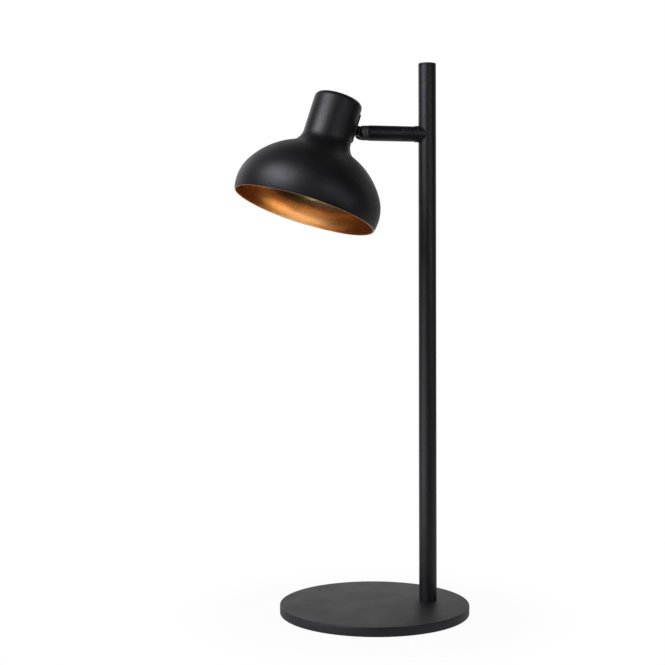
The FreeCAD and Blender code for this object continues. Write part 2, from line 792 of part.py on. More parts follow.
def lamp_body():
    """The reflector lamp: its base, the widening body and the two pins."""
    front = lamp_top - lamp_length
    waist = lamp_top - lamp_base_height
    outline = [
        head_point(0, lamp_top),
        head_point(lamp_base_radius, lamp_top),
        head_point(lamp_base_radius, waist),
        head_point(lamp_front_radius, front + lamp_front_height),
        head_point(lamp_front_radius, front),
        head_point(lens_radius + seat_gap, front),
        head_point(lens_radius + seat_gap, front + lens_recess),
        head_point(0, front + lens_recess),
        head_point(0, lamp_top),
    ]
    face = Part.Face(Part.makePolygon(outline))
    body = face.revolve(vector(-pivot_from_neck_axis, 0, 0), Z_AXIS, 360)
    for side in (-contact_spread, contact_spread):
        pin = axis_rod(lamp_pin_radius, 0, side, lamp_top - seat_gap, lamp_top + lamp_pin_length)
        body = body.fuse(pin)
    return on_head(body)


def lamp_lens():
    """The frosted lens in the lamp's front."""
    front = lamp_top - lamp_length
    top = front + lens_recess - seat_gap
    return on_head(axis_rod(lens_radius, 0, 0, top - lens_thickness, top))


# Leads


def pole_lead():
    """The lead from the grommet, up the pole and into the swivel's stud."""
    entry = pad_thickness + groove_depth / 2
    low = pad_thickness + lead_radius + lead_base_lift
    points = [
        vector(base_radius - grommet_length - lead_entry_gap, 0, entry),
        vector(pole_offset + lead_base_run, 0, low),
        vector(pole_offset, 0, low),
        vector(pole_offset, 0, arm_axis_height),
        vector(pole_offset - swivel_stud_end + lead_end_gap, 0, arm_axis_height),
    ]
    return lead(points, [lead_wave_bend, lead_bend, lead_bend], lead_radius)


def arm_lead():
    """The lead inside the arm, from the swivel to the fork."""
    wave_end = fork_start - fork_spigot_length - lead_end_gap
    points = [
        along_arm(swivel_stud_end + lead_end_gap),
        along_arm(wave_end - lead_wave_run),
        vector(-wave_end, 0, lead_hole_rise),
        vector(fork_slot_back - pivot_reach, 0, lead_hole_rise),
    ]
    return on_arm(lead(points, [lead_wave_bend, lead_wave_bend], lead_radius))


def head_lead():
    """The lead from the bracket's hole to the lamp holder."""
    return on_head(radial_rod(lead_radius, holder_radius + seat_gap, bracket_outer, bracket_lead_rise))


NODES = {
    "base_plate": base_plate,
    "base_pad": base_pad,
    "cable_grommet": cable_grommet,
    "foot_washer": foot_washer,
    "foot_nut": foot_nut,
    "foot_stud": foot_stud,
    "foot_insert": foot_insert,
    "pole_tube": pole_tube,
    "pole_cap": pole_cap,
    "arm_saddle": arm_saddle,
    "stop_pin": stop_pin,
    "swivel_stud": swivel_stud,
    "brake_washer": brake_washer,
    "swivel_spring": swivel_spring,
    "swivel_nut": swivel_nut,
    "pole_lead": pole_lead,
    "swivel_sleeve": swivel_sleeve,
    "sleeve_coupler": sleeve_coupler,
    "arm_tube": arm_tube,
    "arm_fork": arm_fork,
    "pivot_screw": pivot_screw,
    "pivot_nut": pivot_nut,
    "tilt_washers": tilt_washers,
    "arm_lead": arm_lead,
    "neck_bracket": neck_bracket,
    "bracket_screws": bracket_screws,
    "shade": shade,
    "holder_strap": holder_strap,
    "lamp_holder": lamp_holder,
    "holder_screws": holder_screws,
    "lamp_body": lamp_body,
    "lamp_lens": lamp_lens,
    "head_lead": head_lead,
}


def main():
    """Builds every piece and writes one STEP file for each."""
    os.makedirs("parts", exist_ok=True)
    for name, make in NODES.items():
        shape = make()
        shape.exportStep("parts/" + name + ".step")
        volume = round(shape.Volume)
        print(name, "solids", len(shape.Solids), "volume", volume, "valid", shape.isValid())


main()
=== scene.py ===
"""A black desk lamp: round base, upright pole, short arm and a tilting spun shade.

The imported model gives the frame. This script turns and shapes the pieces that show, gives every piece its
finish, and sets up a plain studio and the photograph's camera.
"""

import logging
import math
from dataclasses import dataclass
from enum import Enum

import bpy
from mathutils import Matrix, Vector


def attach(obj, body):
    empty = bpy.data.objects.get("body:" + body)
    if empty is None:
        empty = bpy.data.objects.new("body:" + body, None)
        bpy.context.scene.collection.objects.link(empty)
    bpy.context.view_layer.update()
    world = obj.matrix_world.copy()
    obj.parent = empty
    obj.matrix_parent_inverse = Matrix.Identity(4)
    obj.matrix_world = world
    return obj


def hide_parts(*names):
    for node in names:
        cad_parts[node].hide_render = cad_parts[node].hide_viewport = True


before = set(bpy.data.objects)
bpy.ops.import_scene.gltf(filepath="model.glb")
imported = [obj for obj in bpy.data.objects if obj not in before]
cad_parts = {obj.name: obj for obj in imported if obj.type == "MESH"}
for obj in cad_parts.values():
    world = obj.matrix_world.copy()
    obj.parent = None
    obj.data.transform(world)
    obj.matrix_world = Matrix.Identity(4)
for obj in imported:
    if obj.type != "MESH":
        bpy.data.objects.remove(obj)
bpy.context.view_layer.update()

LOG = logging.getLogger("lamp")
MM = 0.001
CRISP_ANGLE = 30.0
SMOOTH_ANGLE = 32.0
ROUND_ANGLE = 40.0
FLAT_ANGLE = 0.6
WELD = 0.000002
TURNED_WELD = 0.0005
Point = tuple[float, float]
Span = tuple[float, float, float, float]
Colour = tuple[float, float, float, float]
Piece = bpy.types.Object
Tree = bpy.types.NodeTree
Socket = bpy.types.NodeSocket
Material = bpy.types.Material


def grey(value: float) -> Colour:
    """A neutral colour.

    Args:
        value: The linear level from 0 to 1.

    Returns:
        The colour with full alpha.
    """
    return (value, value, value, 1.0)


# Places that the sub-assemblies share


@dataclass(frozen=True)
class Layout:
    """Where the lamp's axes run, in millimetres and degrees."""

    plate_top: float = 9.0
    pole_x: float = 50.7
    arm_z: float = 431.6
    pivot_reach: float = 61.2
    neck_offset: float = 29.6
    pivot_above_rim: float = 84.7
    tilt: float = 19.0
    roll: float = 4.7

    def arm(self) -> Matrix:
        """The arm's place: Z runs out along the arm from the pole's axis, and X is up.

        Returns:
            The matrix from the arm's own millimetres to the row frame in metres.
        """
        turn = Matrix(((0, 0, -1, 0), (0, 1, 0, 0), (1, 0, 0, 0), (0, 0, 0, 1)))
        lift = Matrix.Translation(Vector((self.pole_x, 0, self.arm_z)) * MM)
        return lift @ self.rolled() @ turn @ Matrix.Scale(MM, 4)

    def rolled(self) -> Matrix:
        """The arm's turn about its own axis.

        Returns:
            The rotation.
        """
        return Matrix.Rotation(math.radians(-self.roll), 4, "X")

    def pivot(self) -> Matrix:
        """The pivot's place: Z runs along the screw towards the back, and X is up.

        Returns:
            The matrix from the pivot's own millimetres to the row frame in metres.
        """
        turn = Matrix(((0, 1, 0, 0), (0, 0, 1, 0), (1, 0, 0, 0), (0, 0, 0, 1)))
        place = Vector((self.pole_x - self.pivot_reach, 0, self.arm_z)) * MM
        return Matrix.Translation(place) @ self.rolled() @ turn @ Matrix.Scale(MM, 4)

    def head(self) -> Matrix:
        """The shade's place: Z is its own axis from the rim's plane, and X faces the pivot.

        Returns:
            The matrix from the shade's own millimetres to the row frame in metres.
        """
        place = Vector((self.pole_x - self.pivot_reach, 0, self.arm_z)) * MM
        tilt = Matrix.Rotation(math.radians(self.tilt), 4, "Y")
        inset = Matrix.Translation(Vector((-self.neck_offset, 0, -self.pivot_above_rim)))
        return Matrix.Translation(place) @ self.rolled() @ tilt @ Matrix.Scale(MM, 4) @ inset

    def upright(self, x: float = 0.0) -> Matrix:
        """A place whose Z is up.

        Args:
            x: How far the axis stands from the base's centre, in millimetres.

        Returns:
            The matrix from millimetres to the row frame in metres.
        """
        return Matrix.Translation(Vector((x * MM, 0, 0))) @ Matrix.Scale(MM, 4)


LAYOUT = Layout()


# Modelling by operators


def clear_selection() -> None:
    """Leaves edit mode and deselects everything."""
    if bpy.context.object and bpy.context.object.mode != "OBJECT":
        bpy.ops.object.mode_set(mode="OBJECT")
    bpy.ops.object.select_all(action="DESELECT")


def make_active(piece: Piece) -> None:
    """Selects one object alone and makes it active.

    Args:
        piece: The object.
    """
    clear_selection()
    piece.select_set(True)
    bpy.context.view_layer.objects.active = piece


def settle(piece: Piece, place: Matrix) -> None:
    """Puts an object in place and applies that place to its mesh.

    Args:
        piece: The object, made about its own origin.
        place: The matrix from its own units to the row frame.
    """
    make_active(piece)
    piece.matrix_world = place
    bpy.ops.object.transform_apply(location=True, rotation=True, scale=True)


def smooth(piece: Piece, angle: float = SMOOTH_ANGLE) -> None:
    """Shades a mesh smooth up to an angle between its faces.

    Args:
        piece: The object.
        angle: The largest smooth angle in degrees.
    """
    make_active(piece)
    bpy.ops.object.shade_smooth_by_angle(angle=math.radians(angle))


def outward(piece: Piece) -> None:
    """Merges a turned mesh's doubles and turns its faces outwards.

    Args:
        piece: The object, still in millimetres.
    """
    make_active(piece)
    bpy.ops.object.mode_set(mode="EDIT")
    bpy.ops.mesh.select_all(action="SELECT")
    bpy.ops.mesh.remove_doubles(threshold=TURNED_WELD)
    bpy.ops.mesh.normals_make_consistent(inside=False)
    bpy.ops.object.mode_set(mode="OBJECT")


def drawn(name: str, points: list[Point]) -> Piece:
    """Draws an open outline in the XZ plane by extruding one point.

    Args:
        name: The new object's name.
        points: The outline as (distance from the axis, height).

    Returns:
        The object, left in edit mode with all selected.
    """
    clear_selection()
    first = points[0]
    bpy.ops.mesh.primitive_plane_add(size=1.0, location=(0, 0, 0))
    piece = bpy.context.object
    piece.name = name
    bpy.ops.object.mode_set(mode="EDIT")
    bpy.ops.mesh.select_all(action="SELECT")
    bpy.ops.mesh.merge(type="CENTER")
    bpy.ops.transform.translate(value=(first[0], 0, first[1]))
    for last, point in zip(points, points[1:]):
        step = (point[0] - last[0], 0, point[1] - last[1])
        bpy.ops.mesh.extrude_region_move(TRANSFORM_OT_translate={"value": step})
    bpy.ops.mesh.select_all(action="SELECT")
    return piece


def turned(
    name: str, points: list[Point], place: Matrix, steps: int = 96, angle: float = SMOOTH_ANGLE
) -> Piece:
    """Turns an outline once round its axis.

    Args:
        name: The new object's name.
        points: The outline as (distance from the axis, height), in millimetres.
        place: Where the axis stands.
        steps: How many faces go round.
        angle: The largest smooth angle in degrees.

    Returns:
        The finished object.
    """
    piece = drawn(name, points)
    bpy.ops.mesh.spin(steps=steps, angle=math.tau, center=(0, 0, 0), axis=(0, 0, 1))
    outward(piece)
    settle(piece, place)
    smooth(piece, angle)
    return piece


@dataclass(frozen=True)
class Corner:
    """A corner of a turned outline, in millimetres."""

    radius: float
    height: float
    ease: float = 0.0


def section(bore: float, radius: float, low: float, high: float, eases: Point) -> list[Corner]:
    """The outline of a turned disc or tube.

    Args:
        bore: The hole's radius, or 0 for a disc.
        radius: The outer radius.
        low: The lower face's height.
        high: The upper face's height.
        eases: The outer edges' radii, the lower one first.

    Returns:
        The outline's corners, back to the first one where there is a hole.
    """
    outer = [Corner(radius, low, eases[0]), Corner(radius, high, eases[1])]
    corners = [Corner(bore, low), *outer, Corner(bore, high)]
    return corners + corners[:1] if bore > 0 else corners


def arc(centre: Point, radius: float, start: float, end: float, steps: int) -> list[Point]:
    """Points along an arc.

    Args:
        centre: The arc's centre.
        radius: The arc's radius.
        start: The first angle in radians.
        end: The last angle in radians.
        steps: How many runs the arc has.

    Returns:
        The points, both ends among them.
    """
    turns = [start + (end - start) * step / steps for step in range(steps + 1)]
    return [(centre[0] + radius * math.cos(t), centre[1] + radius * math.sin(t)) for t in turns]


def eased(corners: list[Corner], steps: int = 5) -> list[Point]:
    """Rounds an outline's corners with tangent arcs.

    Args:
        corners: The outline's corners in order.
        steps: How many runs each arc has.

    Returns:
        The outline's points.
    """
    points: list[Point] = [(corners[0].radius, corners[0].height)]
    for before, corner, after in zip(corners, corners[1:], corners[2:]):
        here = Vector((corner.radius, corner.height))
        if corner.ease <= 0:
            points.append((here.x, here.y))
            continue
        to_last = (Vector((before.radius, before.height)) - here).normalized()
        to_next = (Vector((after.radius, after.height)) - here).normalized()
        half = to_last.angle(to_next) / 2
        middle = here + (to_last + to_next).normalized() * (corner.ease / math.sin(half))
        first = here + to_last * (corner.ease / math.tan(half)) - middle
        last = here + to_next * (corner.ease / math.tan(half)) - middle
        start = math.atan2(first.y, first.x)
        sweep = (math.atan2(last.y, last.x) - start + math.pi) % math.tau - math.pi
        points += arc((middle.x, middle.y), corner.ease, start, start + sweep, steps)
    points.append((corners[-1].radius, corners[-1].height))
    return points


def cut_block(piece: Piece, name: str, place: Matrix) -> None:
    """Cuts a box out of a piece.

    Args:
        piece: The piece.
        name: The cut's name.
        place: The matrix from a cube of one unit to the box.
    """
    clear_selection()
    bpy.ops.mesh.primitive_cube_add(size=1.0, location=(0, 0, 0))
    cutter = bpy.context.object
    cutter.matrix_world = place
    make_active(piece)
    cut = piece.modifiers.new(name, "BOOLEAN")
    cut.operation = "DIFFERENCE"
    cut.object = cutter
    bpy.ops.object.modifier_apply(modifier=cut.name)
    bpy.data.objects.remove(cutter)
    smooth(piece, CRISP_ANGLE)


def refined(node: str, ease: float = 0.0) -> Piece:
    """Copies a node as one merged mesh with smooth normals and eased edges.

    Args:
        node: The node's name.
        ease: The width of the eased edges in millimetres, or 0 for sharp ones.

    Returns:
        The copy, which replaces the node.
    """
    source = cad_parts[node]
    piece = bpy.data.objects.new(node + "_fine", source.data.copy())
    bpy.context.scene.collection.objects.link(piece)
    make_active(piece)
    bpy.ops.object.mode_set(mode="EDIT")
    bpy.ops.mesh.select_all(action="SELECT")
    bpy.ops.mesh.customdata_custom_splitnormals_clear()
    bpy.ops.mesh.remove_doubles(threshold=WELD)
    bpy.ops.mesh.dissolve_limited(angle_limit=math.radians(FLAT_ANGLE))
    bpy.ops.object.mode_set(mode="OBJECT")
    if ease > 0:
        bevel = piece.modifiers.new("eased", "BEVEL")
        bevel.width = ease * MM
        bevel.segments = 2
        bevel.limit_method = "ANGLE"
        bevel.angle_limit = math.radians(ROUND_ANGLE)
        bpy.ops.object.modifier_apply(modifier=bevel.name)
    bpy.ops.object.shade_smooth_by_angle(angle=math.radians(SMOOTH_ANGLE))
    return piece


def carry(piece: Piece, body: str, material: Material, slot: str, *nodes: str) -> None:
    """Dresses a finished piece and fixes it to its body.

    Args:
        piece: The piece.
        body: The body that it moves with.
        material: Its finish, or the first of its finishes.
        slot: The record's slot that the finish belongs to; it is not used.
        nodes: The nodes that it stands for.
    """
    if material.name not in [m.name for m in piece.data.materials if m]:
        piece.data.materials.clear()
        piece.data.materials.append(material)
    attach(piece, body)
    if nodes:
        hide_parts(*nodes)
    LOG.info("%s rides on %s", piece.name, body)


# Shader graphs


class Graph:
    """A small helper that adds and links nodes in one tree."""

    def __init__(self, tree: Tree) -> None:
        """Keeps the tree.

        Args:
            tree: The node tree to build in.
        """
        self.tree = tree

    def add(self, kind: str, inputs: dict | None = None, **settings: object) -> bpy.types.Node:
        """Adds a node, sets its values and links its inputs.

        Args:
            kind: The node's type.
            inputs: Socket name or number to a value or to another node's socket.
            settings: The node's own properties.

        Returns:
            The node.
        """
        node = self.tree.nodes.new(kind)
        for key, value in settings.items():
            setattr(node, key, value)
        for key, value in (inputs or {}).items():
            if isinstance(value, Socket):
                self.tree.links.new(value, node.inputs[key])
            else:
                node.inputs[key].default_value = value
        return node

    def math(self, operation: str, first: object, second: object = 0.0) -> Socket:
        """Adds a math node.

        Args:
            operation: Its operation.
            first: Its first value or socket.
            second: Its second value or socket.

        Returns:
            Its result.
        """
        return self.add("ShaderNodeMath", {0: first, 1: second}, operation=operation).outputs[0]

    def noise(self, vector: object, scale: object, detail: float = 3.0, rough: float = 0.5) -> Socket:
        """Adds a noise texture.

        Args:
            vector: The coordinates.
            scale: Cells per unit.
            detail: How many finer layers it has.
            rough: How strong the finer layers are.

        Returns:
            Its value from 0 to 1.
        """
        inputs = {"Vector": vector, "Scale": scale, "Detail": detail, "Roughness": rough}
        return self.add("ShaderNodeTexNoise", inputs).outputs["Fac"]

    def span(self, value: object, low: float, high: float, to_low: float, to_high: float) -> Socket:
        """Maps a range of values to another.

        Args:
            value: The value's socket.
            low: The range's lower end.
            high: The range's upper end.
            to_low: What the lower end becomes.
            to_high: What the upper end becomes.

        Returns:
            The mapped value.
        """
        inputs = {0: value, 1: low, 2: high, 3: to_low, 4: to_high}
        return self.add("ShaderNodeMapRange", inputs).outputs[0]

    def along(self, vector: Socket, heading: Vector) -> Socket:
        """How far a vector goes along a heading.

        Args:
            vector: The vector's socket.
            heading: The heading, of unit length.

        Returns:
            The dot product.
        """
        node = self.add("ShaderNodeVectorMath", {0: vector, 1: heading}, operation="DOT_PRODUCT")
        return node.outputs["Value"]

    def blend(self, factor: object, first: object, second: object) -> Socket:
        """Mixes two colours.

        Args:
            factor: The share of the second colour.
            first: The first colour.
            second: The second colour.

        Returns:
            The mixed colour.
        """
        node = self.add("ShaderNodeMix", {0: factor, 6: first, 7: second}, data_type="RGBA")
        return node.outputs[2]


def new_group(name: str, inputs: dict[str, str], outputs: list[str]) -> tuple[Tree, Graph, dict, dict]:
    """Starts a shader node group.

    Args:
        name: The group's name.
        inputs: Input name to socket type.
        outputs: Names of its value outputs.

    Returns:
        The tree, its graph helper, its input sockets and its output sockets.
    """
    tree = bpy.data.node_groups.new(name, "ShaderNodeTree")
    for key, kind in inputs.items():
        tree.interface.new_socket(key, in_out="INPUT", socket_type=kind)
    for key in outputs:
        tree.interface.new_socket(key, in_out="OUTPUT", socket_type="NodeSocketFloat")
    graph = Graph(tree)
    entry = tree.nodes.new("NodeGroupInput")
    leave = tree.nodes.new("NodeGroupOutput")
    return tree, graph, dict(entry.outputs.items()), dict(leave.inputs.items())


def coat_grain_group() -> Tree:
    """The fine orange peel of a powder coat: speckle, slow mottle and height.

    Returns:
        The node group.
    """
    kinds = {"Vector": "NodeSocketVector", "Grain": "NodeSocketFloat", "Mottle": "NodeSocketFloat"}
    tree, graph, entry, leave = new_group("coat_grain", kinds, ["Height", "Speckle", "Mottle"])
    pit_share = 0.5
    speckle_span = (0.35, 0.65, 0.0, 1.0)
    mottle_span = (0.3, 0.7, 0.0, 1.0)
    fine = graph.noise(entry["Vector"], entry["Grain"])
    pits = graph.add("ShaderNodeTexVoronoi", {"Vector": entry["Vector"], "Scale": entry["Grain"]})
    slow = graph.noise(entry["Vector"], entry["Mottle"], detail=4.0)
    height = graph.math("MULTIPLY_ADD", pits.outputs["Distance"], pit_share)
    tree.links.new(fine, height.node.inputs[2])
    tree.links.new(height, leave["Height"])
    tree.links.new(graph.span(fine, *speckle_span), leave["Speckle"])
    tree.links.new(graph.span(slow, *mottle_span), leave["Mottle"])
    return tree


def turned_lines_group() -> Tree:
    """Fine lines that run round the Z axis, as turning or brushing leaves them.

    Returns:
        The node group.
    """
    kinds = {"Vector": "NodeSocketVector", "Lines": "NodeSocketFloat", "Length": "NodeSocketFloat"}
    tree, graph, entry, leave = new_group("turned_lines", kinds, ["Height", "Streak", "Broad"])
    rise_share = 1.3
    coarse_share = 0.12
    least_radius = 0.0001
    streak_span = (0.32, 0.68, 0.0, 1.0)
    broad_span = (0.3, 0.7, 0.0, 1.0)
    parts = graph.add("ShaderNodeSeparateXYZ", {0: entry["Vector"]}).outputs
    square_x = graph.math("MULTIPLY", parts[0], parts[0])
    square_y = graph.math("MULTIPLY", parts[1], parts[1])
    reach = graph.math("SQRT", graph.math("ADD", square_x, square_y))
    radius = graph.math("MAXIMUM", reach, least_radius)
    across = graph.math("ADD", radius, graph.math("MULTIPLY", parts[2], rise_share))
    swing = graph.math("MULTIPLY", graph.math("DIVIDE", parts[0], radius), entry["Length"])
    swing_y = graph.math("MULTIPLY", graph.math("DIVIDE", parts[1], radius), entry["Length"])
    fine_run = graph.math("MULTIPLY", across, entry["Lines"])
    fine = graph.add("ShaderNodeCombineXYZ", {0: swing, 1: swing_y, 2: fine_run})
    coarse_run = graph.math("MULTIPLY", across, graph.math("MULTIPLY", entry["Lines"], coarse_share))
    coarse = graph.add("ShaderNodeCombineXYZ", {0: swing, 1: swing_y, 2: coarse_run})
    lines = graph.noise(fine.outputs[0], 1.0, detail=4.0, rough=0.65)
    broad = graph.noise(coarse.outputs[0], 1.0)
    tree.links.new(lines, leave["Height"])
    tree.links.new(graph.span(lines, *streak_span), leave["Streak"])
    tree.links.new(graph.span(broad, *broad_span), leave["Broad"])
    return tree


class Bump(Enum):
    """How deep a finish's relief is, as (strength, height in metres)."""

    FAINT = (0.10, 0.00003)
    LIGHT = (0.22, 0.00005)
    CLEAR = (0.40, 0.00012)
    DEEP = (0.65, 0.00020)


class Finish:
    """A material with its graph, its shader and a way to reach the row frame's coordinates."""

    def __init__(self, name: str, **constants: float) -> None:
        """Makes the material and sets the shader's own values.

        Args:
            name: The material's name.
            constants: Values of the shader's sockets, with _ for a space.
        """
        self.material = bpy.data.materials.new(name)
        self.material.use_nodes = True
        self.graph = Graph(self.material.node_tree)
        self.shader = self.material.node_tree.nodes["Principled BSDF"]
        for key, value in constants.items():
            self.shader.inputs[key.replace("_", " ")].default_value = value
        self.place = self.graph.add("ShaderNodeTexCoord").outputs["Object"]

    def local(self, frame_matrix: Matrix) -> Socket:
        """Coordinates about a piece's own axis, in metres.

        Args:
            frame_matrix: The piece's place, from millimetres to metres.

        Returns:
            The coordinates.
        """
        spot, turn, _ = frame_matrix.decompose()
        back = turn.inverted()
        shift = -(back @ spot)
        inputs = {"Vector": self.place, "Location": shift, "Rotation": back.to_euler()}
        return self.graph.add("ShaderNodeMapping", inputs).outputs[0]

    def group(self, tree: Tree, inputs: dict) -> dict:
        """Places a node group in the material.

        Args:
            tree: The group.
            inputs: Its input values and links.

        Returns:
            Its outputs by name.
        """
        node = self.graph.tree.nodes.new("ShaderNodeGroup")
        node.node_tree = tree
        for key, value in inputs.items():
            if isinstance(value, Socket):
                self.graph.tree.links.new(value, node.inputs[key])
            else:
                node.inputs[key].default_value = value
        return dict(node.outputs.items())

    def feed(self, socket: str, value: Socket) -> None:
        """Links a value to one of the shader's sockets.

        Args:
            socket: The socket's name.
            value: The value to link.
        """
        self.graph.tree.links.new(value, self.shader.inputs[socket])

    def relief(self, height: Socket, bump: Bump) -> None:
        """Feeds a height to the shader's normal.

        Args:
            height: The height's socket.
            bump: How deep the relief is.
        """
        inputs = {"Strength": bump.value[0], "Distance": bump.value[1], "Height": height}
        self.feed("Normal", self.graph.add("ShaderNodeBump", inputs).outputs[0])


@dataclass(frozen=True)
class PowderCoat:
    """Fine textured black powder coat."""

    name: str = "powder_coat"
    dark: float = 0.0040
    light: float = 0.0065
    rough: Point = (0.43, 0.51)
    specular: float = 0.66
    sheen: Colour = (0.92, 0.90, 1.0, 1.0)
    grain: float = 620.0
    mottle: float = 38.0
    speckle_share: float = 0.6
    mottle_share: float = 0.4
    dark_blue: float = 1.06
    light_blue: float = 1.05

    def build(self, grain_group: Tree) -> Material:
        """Makes the material.

        Args:
            grain_group: The powder coat's grain.

        Returns:
            The material.
        """
        finish = Finish(self.name, Specular_IOR_Level=self.specular)
        finish.shader.inputs["Specular Tint"].default_value = self.sheen
        inputs = {"Vector": finish.place, "Grain": self.grain, "Mottle": self.mottle}
        grain = finish.group(grain_group, inputs)
        tone = finish.graph.math("MULTIPLY_ADD", grain["Speckle"], self.speckle_share)
        slow = finish.graph.math("MULTIPLY", grain["Mottle"], self.mottle_share)
        finish.graph.tree.links.new(slow, tone.node.inputs[2])
        low = (self.dark, self.dark, self.dark * self.dark_blue, 1.0)
        high = (self.light, self.light, self.light * self.light_blue, 1.0)
        finish.feed("Base Color", finish.graph.blend(tone, low, high))
        finish.feed("Roughness", finish.graph.span(grain["Mottle"], 0.0, 1.0, *self.rough))
        finish.relief(grain["Height"], Bump.DEEP)
        return finish.material


@dataclass(frozen=True)
class BrushedCopper:
    """The shade's copper lining, brushed round its axis."""

    name: str = "brushed_copper"
    deep: Colour = (0.88, 0.50, 0.22, 1.0)
    bright: Colour = (0.97, 0.64, 0.33, 1.0)
    rough: Point = (0.22, 0.29)
    lines: float = 1500.0
    length: float = 1.6
    patches: float = 55.0
    streak_share: float = 0.45
    patch_share: float = 0.6

    def build(self, lines_group: Tree, place: Matrix) -> Material:
        """Makes the material.

        Args:
            lines_group: The turned lines.
            place: The shade's place.

        Returns:
            The material.
        """
        finish = Finish(self.name, Metallic=1.0)
        around = finish.local(place)
        lines = finish.group(lines_group, {"Vector": around, "Lines": self.lines, "Length": self.length})
        patch = finish.graph.noise(finish.place, self.patches, detail=4.0, rough=0.6)
        tone = finish.graph.math("MULTIPLY_ADD", lines["Streak"], self.streak_share)
        slow = finish.graph.math("MULTIPLY", patch, self.patch_share)
        finish.graph.tree.links.new(slow, tone.node.inputs[2])
        finish.feed("Base Color", finish.graph.blend(tone, self.deep, self.bright))
        finish.feed("Roughness", finish.graph.span(lines["Broad"], 0.0, 1.0, *self.rough))
        finish.relief(lines["Height"], Bump.FAINT)
        return finish.material


@dataclass(frozen=True)
class Moulded:
    """Rubber, plastic or glazed ceramic with a fine surface."""

    name: str
    deep: Colour
    bright: Colour
    rough: Point
    metallic: float = 0.0
    grain: float = 1400.0
    mottle: float = 70.0
    bump: Bump = Bump.LIGHT

    def build(self, grain_group: Tree) -> Material:
        """Makes the material.

        Args:
            grain_group: The grain that mottles it.

        Returns:
            The material.
        """
        finish = Finish(self.name, Metallic=self.metallic)
        inputs = {"Vector": finish.place, "Grain": self.grain, "Mottle": self.mottle}
        grain = finish.group(grain_group, inputs)
        finish.feed("Base Color", finish.graph.blend(grain["Mottle"], self.deep, self.bright))
        finish.feed("Roughness", finish.graph.span(grain["Speckle"], 0.0, 1.0, *self.rough))
        finish.relief(grain["Height"], self.bump)
        return finish.material


@dataclass(frozen=True)
class PlainMetal(Moulded):
    """Zinc plated or blackened fasteners with turned faces."""

    rough: Point = (0.28, 0.42)
    metallic: float = 1.0
    grain: float = 900.0
    mottle: float = 160.0
    bump: Bump = Bump.FAINT


@dataclass(frozen=True)
class FrostedLens(Moulded):
    """The lamp's frosted front, with a painted warm glow that stands in for the light it catches from below.
    """

    name: str = "frosted_lens"
    deep: Colour = grey(0.84)
    bright: Colour = grey(0.90)
    rough: Point = (0.30, 0.45)
    grain: float = 420.0
    mottle: float = 60.0
    bump: Bump = Bump.CLEAR
    # The next two values are painted light: a warm glow on the lens in place of the light it catches from
    # below.
    light: Colour = (1.0, 0.72, 0.42, 1.0)
    painted_glow: float = 0.66
    clear: float = 0.15
    index: float = 1.49

    def build(self, grain_group: Tree) -> Material:
        """Makes the material.

        Args:
            grain_group: The grain that frosts it.

        Returns:
            The material.
        """
        material = super().build(grain_group)
        inputs = material.node_tree.nodes["Principled BSDF"].inputs
        inputs["Transmission Weight"].default_value = self.clear
        inputs["IOR"].default_value = self.index
        # Painted light: the emission stands in for the light that falls on the lens from below; the lamp is
        # not on.
        inputs["Emission Strength"].default_value = self.painted_glow
        inputs["Emission Color"].default_value = self.light
        return material


class Palette:
    """Every finish of the lamp, built once."""

    def __init__(self) -> None:
        """Builds the node groups and the materials."""
        grain = coat_grain_group()
        lines = turned_lines_group()
        self.coat = PowderCoat().build(grain)
        self.copper = BrushedCopper().build(lines, LAYOUT.head())
        self.zinc = PlainMetal("zinc_plate", grey(0.42), (0.62, 0.62, 0.60, 1.0)).build(grain)
        screw = PlainMetal("black_screw", grey(0.010), grey(0.020), (0.24, 0.36), metallic=0.0)
        self.black_screw = screw.build(grain)
        pad = Moulded("base_pad_foam", grey(0.010), grey(0.018), (0.7, 0.9), grain=900.0, bump=Bump.CLEAR)
        self.pad = pad.build(grain)
        self.rubber = Moulded("grommet_rubber", grey(0.008), grey(0.013), (0.5, 0.62)).build(grain)
        self.ring = Moulded("friction_ring", grey(0.008), grey(0.014), (0.35, 0.5)).build(grain)
        self.jacket = Moulded("lead_jacket", grey(0.010), grey(0.016), (0.35, 0.5)).build(grain)
        ceramic = Moulded("holder_ceramic", (0.70, 0.69, 0.66, 1.0), (0.80, 0.79, 0.76, 1.0), (0.16, 0.26))
        self.ceramic = ceramic.build(grain)
        self.white = Moulded("lamp_white", grey(0.72), (0.80, 0.80, 0.79, 1.0), (0.35, 0.48)).build(grain)
        self.lens = FrostedLens().build(grain)


# Sub-assemblies


@dataclass(frozen=True)
class Base:
    """The weighted disc with its pad and grommet."""

    radius: float = 85.0
    low: float = 0.8
    top: float = LAYOUT.plate_top
    edge: float = 0.8
    pad_radius: float = 80.0
    pad_edges: Point = (0.2, 0.1)
    groove_start: float = 67.6
    groove_width: float = 8.4
    groove_top: float = 7.6
    overrun: float = 6.4

    def plate(self) -> Piece:
        """Turns the disc and cuts the lead's groove in its underside.

        Returns:
            The plate.
        """
        disc = section(0.0, self.radius, self.low, self.top, (self.edge, self.edge))
        place = LAYOUT.upright()
        piece = turned("base_plate_turned", eased(disc, steps=6), place, steps=256, angle=CRISP_ANGLE)
        end = self.radius + self.overrun
        deep = self.groove_top + self.overrun
        middle = Vector(((self.groove_start + end) / 2, 0, (self.groove_top - self.overrun) / 2))
        size = Matrix.Diagonal((end - self.groove_start, self.groove_width, deep, 1.0))
        cut_block(piece, "groove", place @ Matrix.Translation(middle) @ size)
        return piece

    def build(self, palette: Palette) -> None:
        """Makes and dresses the base.

        Args:
            palette: The lamp's finishes.
        """
        carry(self.plate(), "stand", palette.coat, "black_coat", "base_plate")
        carry(refined("cable_grommet", ease=0.3), "stand", palette.rubber, "grommet_rubber", "cable_grommet")
        sheet = section(0.0, self.pad_radius, 0.0, self.low, self.pad_edges)
        pad = turned("base_pad_turned", eased(sheet), LAYOUT.upright(), steps=192)
        carry(pad, "stand", palette.pad, "pad_foam", "base_pad")


